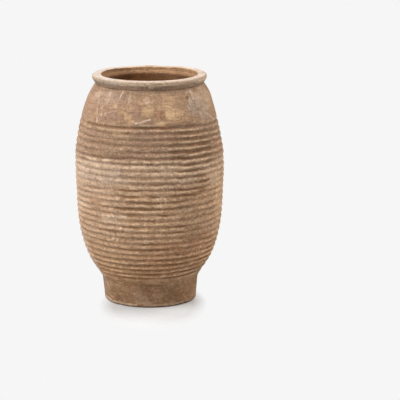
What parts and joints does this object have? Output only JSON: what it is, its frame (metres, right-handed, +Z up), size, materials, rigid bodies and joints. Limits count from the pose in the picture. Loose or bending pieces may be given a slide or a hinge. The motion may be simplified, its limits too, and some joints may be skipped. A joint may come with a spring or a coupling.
{
  "type": "storage jar",
  "caption": "Tall barrel-shaped storage jar of unglazed fired clay, with a ribbed belly, plain shoulder, flat rolled rim, open mouth and narrow foot.",
  "frame": {"origin": "centre of the foot's resting face, on the ground", "axes": "+Z up the jar's axis, +X to the right of someone who faces the jar's front, which looks along -Y"},
  "size_m": [0.4904, 0.4904, 0.76],
  "materials": {
    "foot_clay": "matte, unglazed, worn along the lower edge",
    "ribbed_clay": "matte, unglazed, thrown ribs with pale crests",
    "shoulder_clay": "matte, unglazed, mottled",
    "rim_clay": "matte, unglazed, pale and dusty on top"
  },
  "bodies": {
    "root": {"base_disc": "foot_clay", "foot_band": "foot_clay", "belly_stage_1": "ribbed_clay", "belly_stage_2": "ribbed_clay", "belly_stage_3": "ribbed_clay", "belly_stage_4": "ribbed_clay", "belly_stage_5": "ribbed_clay", "shoulder_band": "shoulder_clay", "rim_collar": "rim_clay"}
  },
  "joints": []
}
